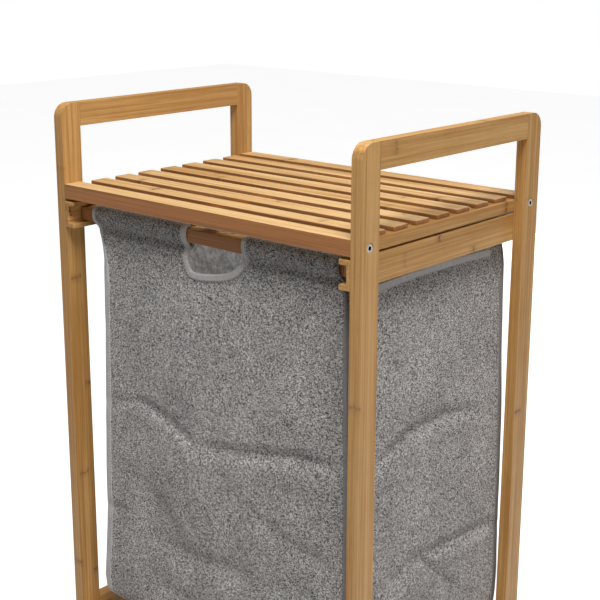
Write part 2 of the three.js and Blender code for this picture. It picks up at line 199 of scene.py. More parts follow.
def thicken(piece, thickness, lining=False):
    """Gives a piece of cloth its thickness, inwards, with its second material inside where it's lined."""
    modifier = piece.modifiers.new("thickness", "SOLIDIFY")
    modifier.thickness = thickness
    modifier.offset = -1.0
    modifier.material_offset = 1 if lining else 0
    modifier.material_offset_rim = 0


def weighted(piece):
    """Keeps the flats of a bevelled piece flat in its shading."""
    modifier = piece.modifiers.new("flats", "WEIGHTED_NORMAL")
    modifier.keep_sharp = True
    modifier.weight = 80


AXES = {"X": 0, "Y": 1, "Z": 2}


def lay_grain(bm, name, along, across, sawn_shade):
    """Stores where each point lies in its own board: along the fibres, across the strips and through them.
    The last argument is how much darker its upright faces are than its top: partly a deeper colour of the cut
    faces, partly painted shade."""
    layer = bm.verts.layers.float_vector.new("grain")
    cut = bm.verts.layers.float.new("sawn_shade")
    bm.normal_update()
    tone = bm.verts.layers.float.new("tone")
    draw = random.Random(name)
    i, j = AXES[along], AXES[across]
    k = 3 - i - j
    shift = Vector((draw.uniform(0, 20), draw.uniform(0, 3), draw.uniform(0, 3)))
    lightness = draw.uniform(0, 1)
    for vert in bm.verts:
        vert[layer] = Vector((vert.co[i], vert.co[j], vert.co[k])) + shift
        vert[tone] = lightness
        # Painted shade, in part: the more upright a face, the more it takes the deep colour.
        vert[cut] = sawn_shade * (1 - abs(vert.normal.z))


def wood_piece(node, along, across, ease, pale=False, sawn_shade=0.0, cuts=(), keep=None):
    """A board with eased edges, in place of its CAD node. It may be cut at heights where it stays sharp."""
    skin = material(bamboo, "pale_bamboo", 0.6) if pale else material(bamboo, "tan_bamboo", 0.0)
    bm = copy_of(node)
    for height in cuts:
        everything = [*bm.verts, *bm.edges, *bm.faces]
        bmesh.ops.bisect_plane(bm, geom=everything, dist=WELD, plane_co=(0, 0, height), plane_no=(0, 0, 1))
    ease_edges(bm, ease, keep=keep)
    lay_grain(bm, node, along, across, sawn_shade)
    weighted(finished(f"{node}_board", bm, BODY_OF[node], [skin], [node]))


# ---- Node helpers ----
class Value:
    """A node's output that can be reckoned with: each operator adds a math node."""

    def __init__(self, tree, socket):
        self.tree, self.socket = tree, socket

    def __add__(self, other):
        return self.tree.math("ADD", self, other)

    def __sub__(self, other):
        return self.tree.math("SUBTRACT", self, other)

    def __rsub__(self, other):
        return self.tree.math("SUBTRACT", other, self)

    def __mul__(self, other):
        return self.tree.math("MULTIPLY", self, other)

    def __truediv__(self, other):
        return self.tree.math("DIVIDE", self, other)

    def clamped(self):
        return self.tree.math("ADD", self, 0.0, clamp=True)


class Tree:
    """Adds nodes to a node tree and joins them."""

    def __init__(self, tree):
        self.tree = tree

    def add(self, kind, *values, **settings):
        """A new node with its settings, and with values for its first sockets."""
        node = self.tree.nodes.new(kind)
        for key, value in settings.items():
            setattr(node, key, value)
        for socket, value in zip(node.inputs, values, strict=False):
            self.feed(socket, value)
        return node

    def feed(self, socket, value):
        """Joins a value to a socket, or sets the socket's constant."""
        if isinstance(value, Value):
            self.tree.links.new(value.socket, socket)
        elif value is not None:
            socket.default_value = value

    def feed_all(self, node, values):
        """Feeds a node's sockets by name."""
        for key, value in values.items():
            self.feed(node.inputs[key.replace("_", " ")], value)
        return node

    def read(self, node):
        """A node's outputs as values, by name."""
        return {socket.name: Value(self, socket) for socket in node.outputs}

    def math(self, operation, *values, clamp=False):
        node = self.add("ShaderNodeMath", *values, operation=operation, use_clamp=clamp)
        return Value(self, node.outputs[0])

    def vector_math(self, operation, *values):
        return Value(self, self.add("ShaderNodeVectorMath", *values, operation=operation).outputs[0])

    def noise(self, vector, scale=1.0, detail=2.0, roughness=0.5, output=0):
        values = {"Vector": vector, "Scale": scale, "Detail": detail, "Roughness": roughness}
        return Value(self, self.feed_all(self.add("ShaderNodeTexNoise"), values).outputs[output])

    def grain_noise(self, vector, factors, detail=2.0, roughness=0.5):
        """Noise drawn out by its own factor along each axis, from 0 to 1."""
        return self.noise(self.vector_math("MULTIPLY", vector, factors), 1.0, detail, roughness)

    def random(self, x, y, z):
        """A random number for each whole place."""
        place = self.add("ShaderNodeCombineXYZ", x, y, z).outputs[0]
        dice = self.add("ShaderNodeTexWhiteNoise", noise_dimensions="3D")
        return Value(self, self.feed_all(dice, {"Vector": Value(self, place)}).outputs[0])

    def split(self, vector):
        return list(self.read(self.add("ShaderNodeSeparateXYZ", vector)).values())

    def remap(self, value, low, high, to_low=0.0, to_high=1.0, smooth=False):
        kind = "SMOOTHSTEP" if smooth else "LINEAR"
        node = self.add("ShaderNodeMapRange", value, low, high, to_low, to_high, interpolation_type=kind)
        return Value(self, node.outputs[0])

    def mix(self, factor, a, b, blend="MIX", kind="Color"):
        """Mixes two colours, or two numbers where the kind is Float."""
        node = self.add("ShaderNodeMix", data_type="RGBA" if kind == "Color" else "FLOAT", blend_type=blend)
        sockets = {socket.identifier: socket for socket in node.inputs}
        for key, value in (("Factor_Float", factor), (f"A_{kind}", a), (f"B_{kind}", b)):
            self.feed(sockets[key], value)
        return Value(self, next(s for s in node.outputs if s.identifier == f"Result_{kind}"))

    def attribute(self, name, output="Vector"):
        return self.read(self.add("ShaderNodeAttribute", attribute_name=name))[output]

    def object_place(self):
        return self.read(self.add("ShaderNodeTexCoord"))["Object"]

    def group(self, group, **values):
        """The outputs of a shared effect, by name."""
        return self.read(self.feed_all(self.add("ShaderNodeGroup", node_tree=group), values))


def new_group(name, inputs, outputs):
    """An empty shader node group with named sockets."""
    tree = bpy.data.node_groups.new(name, "ShaderNodeTree")
    for in_out, sockets in (("INPUT", inputs), ("OUTPUT", outputs)):
        for label, (kind, default) in sockets.items():
            socket = tree.interface.new_socket(name=label, in_out=in_out, socket_type=f"NodeSocket{kind}")
            if default is not None:
                socket.default_value = default
    made = Tree(tree)
    return made, made.read(made.add("NodeGroupInput")), made.add("NodeGroupOutput").inputs


def new_material(name, **constants):
    """A material with one Principled BSDF, its constants on the shader's own sockets."""
    made = bpy.data.materials.new(name)
    made.use_nodes = True
    tree = Tree(made.node_tree)
    shader = made.node_tree.nodes["Principled BSDF"]
    tree.feed_all(shader, constants)
    return made, tree, shader.inputs


def bump(tree, inputs, height, distance):
    """Roughens a shader's normal by a height, that many metres deep."""
    node = tree.feed_all(tree.add("ShaderNodeBump"), {"Distance": distance, "Height": height})
    tree.feed(inputs["Normal"], Value(tree, node.outputs[0]))


def rgba(colour):
    return (*colour, 1.0)


# ---- Shared effects ----
NUMBER, VECTOR, COLOUR = ("Float", None), ("Vector", None), ("Color", None)


def bamboo_grain():
    """Laminated strips with knuckles, fibres and glue lines, from a point in the board's own axes."""
    tree, given, out = new_group(
        "bamboo_grain",
        {
            "Grain": VECTOR,
            "Tone": ("Float", 0.5),
            "Strip": ("Float", 0.0064),
            "Knuckles": ("Float", 0.26),
            **dict.fromkeys(("Pale", "Tan", "Brown", "Deep"), COLOUR),
            "Sawn": ("Float", 0.0),
        },
        {"Color": COLOUR, "Roughness": NUMBER, "Height": NUMBER},
    )
    grain = given["Grain"]
    along, across, _ = tree.split(grain)
    wander = (tree.grain_noise(grain, (7, 40, 40)) - 0.5) * 0.12
    strips = across / given["Strip"] + wander
    inside = tree.math("FRACT", strips)
    own = tree.random(tree.math("FLOOR", strips), 3.7, 1.3)
    # Knuckles: soft brown bands across a few strips, wavy and broken, each with a pale lip.
    wide = tree.math("FLOOR", strips * 0.42 + wander * 2.0)
    waves = (tree.grain_noise(grain, (40, 170, 170)) - 0.5) * 0.03
    turns = along / given["Knuckles"] + tree.random(wide, 5.5, 8.8) * 11.0
    place = tree.math("FRACT", turns) - 0.5 + waves
    away = tree.math("ABSOLUTE", place)
    line = tree.remap(away, 0.002, 0.010, 1.0, 0.0, smooth=True)
    halo = tree.remap(away, 0.0, 0.045, 1.0, 0.0, smooth=True)
    broken = tree.remap(tree.grain_noise(grain, (60, 420, 420)), 0.35, 0.65)
    strength = tree.remap(tree.random(wide, tree.math("FLOOR", turns), 2.2), 0.30, 0.95)
    band = strength * (line * broken * 0.85 + halo * 0.34)
    lip = tree.remap(tree.math("ABSOLUTE", place - 0.022), 0.0, 0.012, 0.35, 0.0)
    # Fibres: long streaks, broad and fine, and short dark bundles.
    fine = tree.grain_noise(grain, (12, 1500, 1500), detail=3.0, roughness=0.6)
    streaks = tree.grain_noise(grain, (4, 330, 330), detail=3.0, roughness=0.55)
    bundles = tree.grain_noise(grain, (70, 2300, 2300), detail=1.0)
    broad = tree.grain_noise(grain, (4, 60, 60))
    dark = tree.remap(bundles, 0.58, 0.76, smooth=True)
    blend = own * 0.40 + given["Tone"] * 0.45
    for part, share in ((broad, 1.2), (streaks, 2.6), (fine, 2.0)):
        blend += (part - 0.5) * share
    colour = tree.mix(blend.clamped(), given["Pale"], given["Tan"])
    # Upright faces turn to the deep colour, partly their own cut-face colour and partly painted shade.
    deep = tree.mix((blend * 0.5 + 0.3).clamped(), given["Deep"], given["Brown"])
    colour = tree.mix(given["Sawn"], colour, deep)
    glue = tree.remap(tree.math("MINIMUM", inside, 1.0 - inside), 0.0, 0.06, 0.16, 0.0, smooth=True)
    colour = tree.mix(lip * strength, colour, given["Pale"])
    for mask in (band, dark * 0.26, glue):
        colour = tree.mix(mask, colour, given["Brown"])
    tree.feed(out["Color"], colour)
    tree.feed(out["Roughness"], tree.remap(fine, 0.3, 0.7, 0.36, 0.52))
    tree.feed(out["Height"], fine - dark * 0.5 + band * 0.6)
    return tree.tree


def linen_weave():
    """Plain weave with uneven yarns, from a place on the cloth in metres: how light each yarn is, where the
    flecks are, and how high the yarns lie."""
    tree, given, out = new_group(
        "linen_weave",
        {"Place": VECTOR, "Pitch": ("Float", 0.00115), "Slub": ("Float", 0.009)},
        {"Light": NUMBER, "Fleck": NUMBER, "Height": NUMBER},
    )
    sway = tree.vector_math("SUBTRACT", tree.noise(given["Place"], 120.0, output="Color"), (0.5, 0.5, 0.5))
    place = tree.vector_math("MULTIPLY_ADD", sway, (0.0009, 0.0009, 0.0), given["Place"])
    u, v, _ = tree.split(place)
    across, up = u / given["Pitch"], v / given["Pitch"]
    i, j = tree.math("FLOOR", across), tree.math("FLOOR", up)
    over = tree.math("MODULO", tree.math("ABSOLUTE", i + j), 2.0)
    lights = []
    for yarn, run, seed in ((i, v, 1.7), (j, u, 8.3)):
        piece = tree.math("FLOOR", run / given["Slub"] + tree.random(yarn, seed, 0.4) * 40.0)
        lights.append(tree.random(yarn, piece, seed))
    light = tree.mix(over, *lights, kind="Float")
    cell = tree.random(i, j, 4.4)
    weft = tree.grain_noise(place, (260, 1500, 1), roughness=0.6)
    warp = tree.grain_noise(place, (1500, 220, 1), roughness=0.6)
    mixed = 0.5
    for part, share in ((light, 0.35), (cell, 1.05), (weft, 2.2), (warp, 1.5)):
        mixed = (part - 0.5) * share + mixed
    tree.feed(out["Light"], mixed)
    fleck = tree.random(tree.math("FLOOR", u / 0.0016), tree.math("FLOOR", v / 0.0013), 7.9)
    tree.feed(out["Fleck"], fleck)
    ridges = [tree.math("ABSOLUTE", tree.math("SINE", x * math.pi)) for x in (across, up)]
    tree.feed(out["Height"], tree.mix(over, *ridges, kind="Float") + light * 0.6)
    return tree.tree


def handling_wear():
    """Faint scuffs and dust, as a mask, from a place on the object in metres."""
    tree, given, out = new_group(
        "handling_wear", {"Place": VECTOR, "Size": ("Float", 30.0)}, {"Mask": NUMBER, "Speckle": NUMBER}
    )
    patches = tree.noise(given["Place"], given["Size"], detail=4.0, roughness=0.6)
    tree.feed(out["Mask"], tree.remap(patches, 0.45, 0.72, smooth=True))
    tree.feed(out["Speckle"], tree.noise(given["Place"], given["Size"] * 22.0))
    return tree.tree


@cache
def effect(make):
    """A shared effect's group, built the first time that it is asked for."""
    return make()


# ---- Materials ----
@cache
def material(make, *values):
    """A material, built once for each set of values."""
    return make(*values)


def bamboo(name, lighten):
    """Oiled laminated bamboo. lighten mixes the whole board towards the pale strips."""
    settings = bpy.context.scene.sorter_bamboo
    made, tree, inputs = new_material(name, Specular_IOR_Level=0.30, Coat_Weight=0.05, Coat_Roughness=0.28)
    pale = Vector(settings.pale)
    tan = Vector(settings.tan).lerp(pale, lighten * 0.45)
    grain = tree.group(
        effect(bamboo_grain),
        Grain=tree.attribute("grain"),
        Tone=tree.attribute("tone", "Fac"),
        Strip=settings.strip,
        Knuckles=settings.knuckles,
        Pale=rgba(pale.lerp(Vector((0.82, 0.58, 0.30)), lighten)),
        Tan=rgba(tan),
        Brown=rgba(settings.brown),
        Deep=rgba(settings.deep),
        Sawn=tree.attribute("sawn_shade", "Fac"),
    )
    wear = tree.group(effect(handling_wear), Place=tree.object_place(), Size=26.0)
    tree.feed(inputs["Base Color"], tree.mix(wear["Mask"] * 0.10, grain["Color"], rgba(tan * 0.7)))
    tree.feed(inputs["Roughness"], grain["Roughness"] + wear["Mask"] * 0.08)
    bump(tree, inputs, grain["Height"], 0.07 * MM)
    return made


def linen():
    """Heathered grey cloth with dark and light flecks, darker near the top of its walls and on its sleeves:
    painted shade from the shelf above.
    """
    settings = bpy.context.scene.sorter_cloth
    sheen = {"Sheen_Weight": 0.16, "Sheen_Roughness": 0.55, "Sheen_Tint": (0.75, 0.74, 0.73, 1.0)}
    made, tree, inputs = new_material("linen", Specular_IOR_Level=0.18, **sheen)
    place = tree.attribute("weave")
    weave = tree.group(effect(linen_weave), Place=place, Pitch=settings.pitch, Slub=0.0085)
    light, fleck = weave["Light"], weave["Fleck"]
    grey = tree.mix(tree.remap(light, 0.05, 0.47), rgba(settings.dark), rgba(settings.grey))
    colour = tree.mix(tree.remap(light, 0.49, 0.92), grey, rgba(settings.light))
    colour = tree.mix(tree.remap(fleck, 0.957, 0.967, 0.0, 0.95), colour, rgba(Vector(settings.dark) * 0.7))
    colour = tree.mix(tree.remap(fleck, 0.060, 0.045, 0.0, 0.7), colour, rgba(Vector(settings.light) * 1.15))
    worn = tree.grain_noise(place, (22, 14, 1), detail=3.0)
    # Painted shade from the shelf: the cloth darkens towards the top of its walls and over the sleeves.
    painted_shelf_shade = tree.remap(tree.split(place)[1], 0.535, 0.582, 1.0, 0.70, smooth=True)
    shade = tree.remap(worn, 0.3, 0.7, 0.86, 1.10) * painted_shelf_shade
    shade = Value(tree, tree.add("ShaderNodeCombineXYZ", shade, shade, shade).outputs[0])
    tree.feed(inputs["Base Color"], tree.mix(1.0, colour, shade, "MULTIPLY"))
    tree.feed(inputs["Roughness"], tree.remap(light, 0.0, 1.0, 0.94, 0.82))
    bump(tree, inputs, weave["Height"], 0.22 * MM)
    return made


def coating():
    """The silvery coated inside of the bag, finely crinkled, with painted white glints in its colour."""
    made, tree, inputs = new_material("coating", Specular_IOR_Level=0.5)
    place = tree.object_place()
    crinkle = tree.noise(place, 130.0, detail=6.0, roughness=0.72)
    sparkle = tree.remap(tree.noise(place, 700.0), 0.56, 0.66)
    foil = tree.mix(tree.remap(crinkle, 0.42, 0.60), (0.44, 0.425, 0.415, 1), (0.78, 0.77, 0.76, 1))
    # Painted highlights: white glints mixed into the colour where the sparkle meets the crinkles.
    painted_glints = sparkle * tree.remap(crinkle, 0.50, 0.58)
    tree.feed(inputs["Base Color"], tree.mix(painted_glints, foil, (0.95, 0.95, 0.95, 1)))
    tree.feed(inputs["Roughness"], tree.remap(sparkle, 0.0, 1.0, 0.5, 0.2))
    bump(tree, inputs, crinkle + sparkle * 0.3, 2.2 * MM)
    return made


def tape(name, lightness):
    """Woven binding tape, twilled across its width."""
    made, tree, inputs = new_material(name, Specular_IOR_Level=0.2, Sheen_Weight=0.2, Sheen_Roughness=0.5)
    u, v, _ = tree.split(tree.attribute("weave"))
    twill = tree.math("SINE", (u + v * 0.8) * 5200.0)
    ribs = tree.math("SINE", v * 7000.0)
    mottle = tree.noise(tree.object_place(), 300.0, detail=3.0)
    light = twill * 0.18 + tree.remap(mottle, 0.3, 0.7, 0.25, 0.75)
    low, high = (rgba(Vector(c) * lightness) for c in ((0.36, 0.345, 0.335), (0.60, 0.58, 0.565)))
    tree.feed(inputs["Base Color"], tree.mix(light.clamped(), low, high))
    tree.feed(inputs["Roughness"], tree.remap(mottle, 0.3, 0.7, 0.78, 0.92))
    bump(tree, inputs, twill + ribs, 0.1 * MM)
    return made


def thread():
    """Twisted polyester sewing thread."""
    made, tree, inputs = new_material("thread", Specular_IOR_Level=0.35, Sheen_Weight=0.1)
    twist = tree.noise(tree.object_place(), 2400.0, detail=1.0)
    tree.feed(inputs["Base Color"], tree.mix(twist, (0.035, 0.034, 0.034, 1), (0.12, 0.115, 0.11, 1)))
    tree.feed(inputs["Roughness"], tree.remap(twist, 0.0, 1.0, 0.5, 0.7))
    bump(tree, inputs, twist, 0.1 * MM)
    return made


def metal(name, low, high, roughness, grain_size):
    """Plated steel with uneven gloss and faint wear, or a near-black copy of it as painted shade."""
    made, tree, inputs = new_material(name, Metallic=1.0)
    wear = tree.group(effect(handling_wear), Place=tree.object_place(), Size=grain_size)
    tree.feed(inputs["Base Color"], tree.mix(wear["Speckle"], rgba(low), rgba(high)))
    tree.feed(inputs["Roughness"], wear["Mask"] * 0.16 + roughness + wear["Speckle"] * 0.08)
    bump(tree, inputs, wear["Speckle"], 0.03 * MM)
    return made


def moulded(name, low, high, roughness, grain_size, relief):
    """Moulded plastic or rubber with a fine grain, a little dusty."""
    made, tree, inputs = new_material(name, Specular_IOR_Level=0.4)
    wear = tree.group(effect(handling_wear), Place=tree.object_place(), Size=grain_size)
    base = tree.mix(wear["Speckle"], rgba(low), rgba(high))
    tree.feed(inputs["Base Color"], tree.mix(wear["Mask"] * 0.22, base, (0.30, 0.29, 0.27, 1)))
    tree.feed(inputs["Roughness"], wear["Mask"] * 0.15 + roughness)
    bump(tree, inputs, wear["Speckle"], relief)
    return made


# ---- The bag's shape ----
BAR_FRONT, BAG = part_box("bag_bar_front"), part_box("bag")
SEAM_Z = BAR_FRONT[0].z - 15 * MM  # where a sleeve is sewn to its wall
FLOOR_Z = BAG[0].z
CORNER = 7 * MM
WALL_Y = -BAG[0].y - 2.5 * MM  # the straight front wall
SIDE_X = 205 * MM  # a side wall between the channels
SIDE_HALF = 0.148  # half of a side wall's length at its seam
SLEEVE_HALF = 115 * MM  # half of a side sleeve's length
CREASE = 1.55  # how strongly the cloth keeps its packing creases

# How far each wall stands out at some heights: left and right at the corners, then front and back.
HEIGHTS = [0.090, 0.0935, 0.103, 0.122, 0.160, 0.212, 0.300, 0.372, 0.460, 0.548, 0.563, 0.574, 0.590, 0.610]
LEFT_AT = [
    0.176, 0.185, 0.191, 0.192, 0.188, 0.184, 0.1815, 0.180, 0.177, 0.1745, 0.1765, 0.180, 0.1895, 0.1915,
]  # fmt: skip
RIGHT_AT = [
    0.196, 0.205, 0.211, 0.212, 0.2125, 0.2125, 0.2115, 0.2105, 0.208, 0.2055, 0.204, 0.202, 0.1955, 0.1945,
]  # fmt: skip
FRONT_AT = [
    0.136, 0.144, 0.1495, 0.151, 0.151, 0.150, 0.150, 0.1497, 0.149, 0.1482, 0.148, 0.1478, 0.1478, 0.1478,
]  # fmt: skip


SEAM_X = (np.interp(SEAM_Z, HEIGHTS, LEFT_AT), np.interp(SEAM_Z, HEIGHTS, RIGHT_AT))


def step(x, low, high):
    """A smooth step from 0 at low to 1 at high."""
    t = np.clip((x - low) / (high - low), 0, 1)
    return t * t * (3 - 2 * t)


def lengths(points):
    """How far along a line each of its points lies."""
    return np.concatenate([[0], np.cumsum(np.linalg.norm(np.diff(points, axis=0), axis=1))])


def through(points, pieces):
    """A smooth line through some points, with each stretch between two of them in that many pieces."""
    fine = []
    for n in range(len(points) - 1):
        p0, p1, p2, p3 = (points[min(max(n + k, 0), len(points) - 1)] for k in (-1, 0, 1, 2))
        square, cube = 2 * p0 - 5 * p1 + 4 * p2 - p3, 3 * (p1 - p2) + p3 - p0
        for t in np.arange(0, 1, 1 / pieces):
            fine.append(0.5 * (2 * p1 + (p2 - p0) * t + square * t**2 + cube * t**3))
    return np.array([*fine, points[-1]])


# Creases of one wall: points (along the wall, height) in metres, then how wide, how deep, and the swell under
# it, in millimetres. A crease that is less than nothing deep is a ridge.
FRONT_CREASES = [
    ([(-0.185, 0.362), (-0.150, 0.371), (-0.110, 0.381), (-0.085, 0.379)], 5.0, 1.3, 0.2),
    ([(-0.125, 0.382), (-0.095, 0.380), (-0.064, 0.371), (-0.036, 0.359), (-0.010, 0.346)], 6.0, 2.4, 0.4),
    (
        [(-0.040, 0.350), (-0.005, 0.351), (0.038, 0.357), (0.098, 0.370), (0.141, 0.379), (0.215, 0.384)],
        7.5, 2.8, 0.9,
    ),  # fmt: skip
    ([(-0.190, 0.222), (-0.160, 0.227), (-0.130, 0.232)], 5.0, 1.6, 0.3),
    ([(-0.120, 0.203), (-0.070, 0.205), (-0.011, 0.207), (0.090, 0.214)], 10.0, 1.6, 0.7),
    ([(-0.034, 0.600), (-0.031, 0.460), (-0.028, 0.352)], 48.0, -2.4, 0.0),
    ([(-0.034, 0.375), (-0.018, 0.310), (-0.004, 0.190)], 42.0, -3.0, 0.0),
    ([(-0.045, 0.356), (-0.035, 0.300), (-0.022, 0.225)], 7.0, 1.4, 0.0),
    ([(0.050, 0.300), (0.130, 0.272), (0.200, 0.262)], 9.0, 1.3, 0.5),
    ([(-0.170, 0.300), (-0.090, 0.262), (-0.030, 0.200)], 22.0, 1.6, 0.0),
    ([(-0.100, 0.150), (0.010, 0.140), (0.130, 0.152)], 9.0, 1.6, 0.8),
]
RIGHT_CREASES = [
    ([(-0.160, 0.345), (-0.099, 0.373), (-0.041, 0.395), (0.026, 0.396), (0.125, 0.378)], 6.5, 2.3, 0.9),
    ([(-0.045, 0.241), (0.000, 0.236), (0.058, 0.232), (0.122, 0.226), (0.160, 0.208)], 6.5, 3.0, 0.9),
    ([(-0.040, 0.250), (-0.023, 0.238), (0.015, 0.205), (0.075, 0.150)], 6.5, 3.2, 0.0),
    ([(-0.130, 0.213), (-0.060, 0.228), (-0.010, 0.240)], 10.0, 1.4, 0.5),
    ([(-0.043, 0.590), (-0.041, 0.500), (-0.041, 0.380)], 40.0, -1.2, 0.0),
    ([(-0.046, 0.570), (-0.044, 0.500), (-0.044, 0.396)], 5.0, 0.9, 0.0),
    ([(0.090, 0.568), (0.094, 0.490), (0.092, 0.400)], 12.0, 0.9, 0.0),
    ([(-0.130, 0.555), (-0.073, 0.562), (-0.045, 0.567), (0.013, 0.567), (0.140, 0.560)], 4.0, 1.2, 0.6),
    ([(-0.110, 0.140), (0.000, 0.128), (0.100, 0.140)], 9.0, 1.3, 0.7),
]
BACK_CREASES = [
    ([(-0.180, 0.380), (-0.060, 0.366), (0.080, 0.372), (0.200, 0.360)], 7.0, 1.8, 1.3),
    ([(-0.170, 0.225), (-0.050, 0.215), (0.060, 0.232), (0.190, 0.220)], 8.0, 1.4, 1.0),
    ([(0.020, 0.540), (0.024, 0.440), (0.016, 0.260)], 9.0, 1.0, 0.0),
    ([(-0.080, 0.366), (-0.130, 0.300), (-0.170, 0.262)], 6.0, 1.4, 0.5),
]
LEFT_CREASES = [
    ([(-0.140, 0.368), (-0.040, 0.384), (0.050, 0.378), (0.140, 0.360)], 6.5, 1.8, 1.2),
    ([(-0.140, 0.226), (0.000, 0.212), (0.130, 0.230)], 8.0, 1.4, 0.9),
    ([(0.030, 0.378), (0.070, 0.310), (0.120, 0.262)], 6.0, 1.3, 0.5),
]


def creased(along, height, creases):
    """How far a wall stands out at each point because of its creases."""
    out = np.zeros(len(along))
    p = np.stack([along, height], 1)
    for points, wide, deep, swell in creases:
        line = np.array(points)
        long = lengths(line)
        best, side, at = np.full(len(p), np.inf), np.zeros(len(p)), np.zeros(len(p))
        for n, (a, b) in enumerate(zip(line[:-1], line[1:], strict=True)):
            d = b - a
            t = np.clip(((p - a) @ d) / (d @ d), 0, 1)
            off = p - a - t[:, None] * d
            far = np.linalg.norm(off, axis=1)
            nearer = far < best
            best[nearer] = far[nearer]
            turned = np.sign(d[0]) * off[:, 1] if abs(d[0]) > abs(d[1]) else off[:, 0]
            side[nearer] = turned[nearer]
            at[nearer] = (long[n] + t * np.linalg.norm(d))[nearer]
        share = at / long[-1]
        fade = step(share, -0.02, 0.30) * step(share, 1.02, 0.72)
        below = np.sign(side) * best
        w = (1.0 if deep < 0 else np.where(below > 0, 0.65, 1.6)) * wide * MM
        out -= deep * CREASE * MM * fade * np.exp(-((best / w) ** 2))
        out += swell * CREASE * MM * fade * np.exp(-(((below + 3.2 * wide * MM) / (2.4 * wide * MM)) ** 2))
    return out


def wobble(points, across, up, start=0.0):
    """Smooth noise at each point, in waves about 1 / across wide and 1 / up high."""
    places = (Vector((x * across, y * across, z * up + start)) for x, y, z in zip(*points, strict=True))
    return np.array([noise.noise(place) for place in places])


def wall_points(a, b, z, lift=0.0):
    """Points of the bag's outer face. a and b run from -1 to 1 along X and Y on the walls' outline."""
    a, b, z = (np.asarray(x, float) for x in (a, b, z))
    # Near its top a side wall runs straight between the channels, and draws in only at its corners.
    near_corner = step(np.abs(b), 0.80, 0.97)
    hung = step(z, 0.47, SEAM_Z)
    left = np.interp(z, HEIGHTS, LEFT_AT)
    right = np.interp(z, HEIGHTS, RIGHT_AT)
    left = left + (1 - near_corner) * hung * (SIDE_X - left)
    right = right + (1 - near_corner) * hung * (SIDE_X - right)
    front = np.interp(z, HEIGHTS, FRONT_AT)
    # The corners are rounded: each point is put on the outline, with its normal.
    x = -left + (a + 1) / 2 * (left + right)
    y = b * front
    cx = np.clip(x, -left + CORNER, right - CORNER)
    cy = np.clip(y, -front + CORNER, front - CORNER)
    nx, ny = x - cx, y - cy
    size = np.maximum(np.hypot(nx, ny), 1e-9)
    nx, ny = nx / size, ny / size
    x, y = cx + CORNER * nx, cy + CORNER * ny
    # The cloth stands out by its belly, its creases and its small unevenness.
    height = np.clip((z - FLOOR_Z) / (SEAM_Z - FLOOR_Z), 0, 1)
    free = np.sin(np.pi * height) ** 0.6 * (z < SEAM_Z)
    belly = free * 1.5 * MM * (1 - np.minimum(a**2, b**2))
    out = belly + lift
    for weight, along, creases in (
        (np.maximum(-ny, 0), x, FRONT_CREASES),
        (np.maximum(nx, 0), y, RIGHT_CREASES),
        (np.maximum(ny, 0), x, BACK_CREASES),
        (np.maximum(-nx, 0), y, LEFT_CREASES),
    ):
        used = weight > 0.05
        moved = np.zeros(len(x))
        moved[used] = creased(along[used], z[used], creases)
        out = out + weight**2 * moved
    waves = 1.3 * MM * wobble((x, y, z), 13, 9) + 0.45 * MM * wobble((x, y, z), 42, 30, 7)
    out = out + step(z, SEAM_Z + 6 * MM, SEAM_Z - 25 * MM) * waves
    return np.stack([x + out * nx, y + out * ny, z], 1)


def sleeve_path(side):
    """A sleeve's section round its bar, from its wall's seam: how far in from the wall and how high each
    point is, and how far along the section it lies."""
    if side in ENDS:
        wide = (BAR_FRONT[1].y - BAR_FRONT[0].y) / MM
        path = [(0, 0), (2.3, 4), (3.6, 8), (2.0, 12.5), (-1.2, 17), (-2.4, 23), (-1.8, 29), (0.8, 32.4)]
        path += [(5, 33.2), (wide - 3, 33.0), (wide + 1.0, 31.6), (wide + 2.9, 27), (wide + 2.8, 16)]
        path += [(wide - 2, 9.5), (9, 5), (2.2, 0.5)]
    else:
        path = [(0, 0), (-0.2, 8), (-0.6, 12.4), (-3, 13.6), (-9.3, 13.9), (-10.3, 16), (-10.4, 29.5)]
        path += [(-9.2, 32.1), (-6, 32.4), (5, 32.4), (8.4, 31.4), (9.3, 28), (9.2, 15), (6.5, 7), (2.2, 0.5)]
    section = through(np.array(path) * MM, 4)
    return section, lengths(section)


SLEEVES = {side: sleeve_path(side) for side in (*ENDS, *SIDES)}


def cloth_points(side, share, row, lift=0.0):
    """Points of the cloth on one side of the bag: share from 0 to 1 along it, and row, the height of a wall's
    point, or past the seam the length of cloth above it."""
    share, row = np.asarray(share, float), np.asarray(row, float)
    lift = np.broadcast_to(np.asarray(lift, float), share.shape)
    run = 2 * share - 1
    still = np.full(len(share), 1.0)
    a, b = {
        "front": (run, -still),
        "right": (still, run),
        "back": (-run, still),
        "left": (-still, -run),
    }[side]
    made = wall_points(a, b, np.minimum(row, SEAM_Z), lift)
    over = row > SEAM_Z
    if over.any():
        section, long = SLEEVES[side]
        past = row[over] - SEAM_Z
        inward = np.interp(past, long, section[:, 0])
        high = np.interp(past, long, section[:, 1])
        tangent = np.stack([np.gradient(section[:, 0], long), np.gradient(section[:, 1], long)], 1)
        t_in, t_up = (np.interp(past, long, tangent[:, k]) for k in (0, 1))
        inward = inward - lift[over] * t_up
        high = high + lift[over] * t_in
        base = made[over]
        if side in ENDS:
            left = np.interp(SEAM_Z + high, HEIGHTS, LEFT_AT) / SEAM_X[0]
            right = np.interp(SEAM_Z + high, HEIGHTS, RIGHT_AT) / SEAM_X[1]
            base[:, 0] *= np.where(base[:, 0] < 0, left, right)
            sign = -1 if side == "front" else 1
            wave = 0.5 * MM * np.sin(base[:, 0] * 95) * step(past, 0.0, 0.012) * step(past, 0.045, 0.030)
            base[:, 1] = sign * (WALL_Y - inward + wave)
        else:
            sign = -1 if side == "left" else 1
            base[:, 0] = sign * (SIDE_X - inward)
        base[:, 2] = SEAM_Z + high
        made[over] = base
    return made


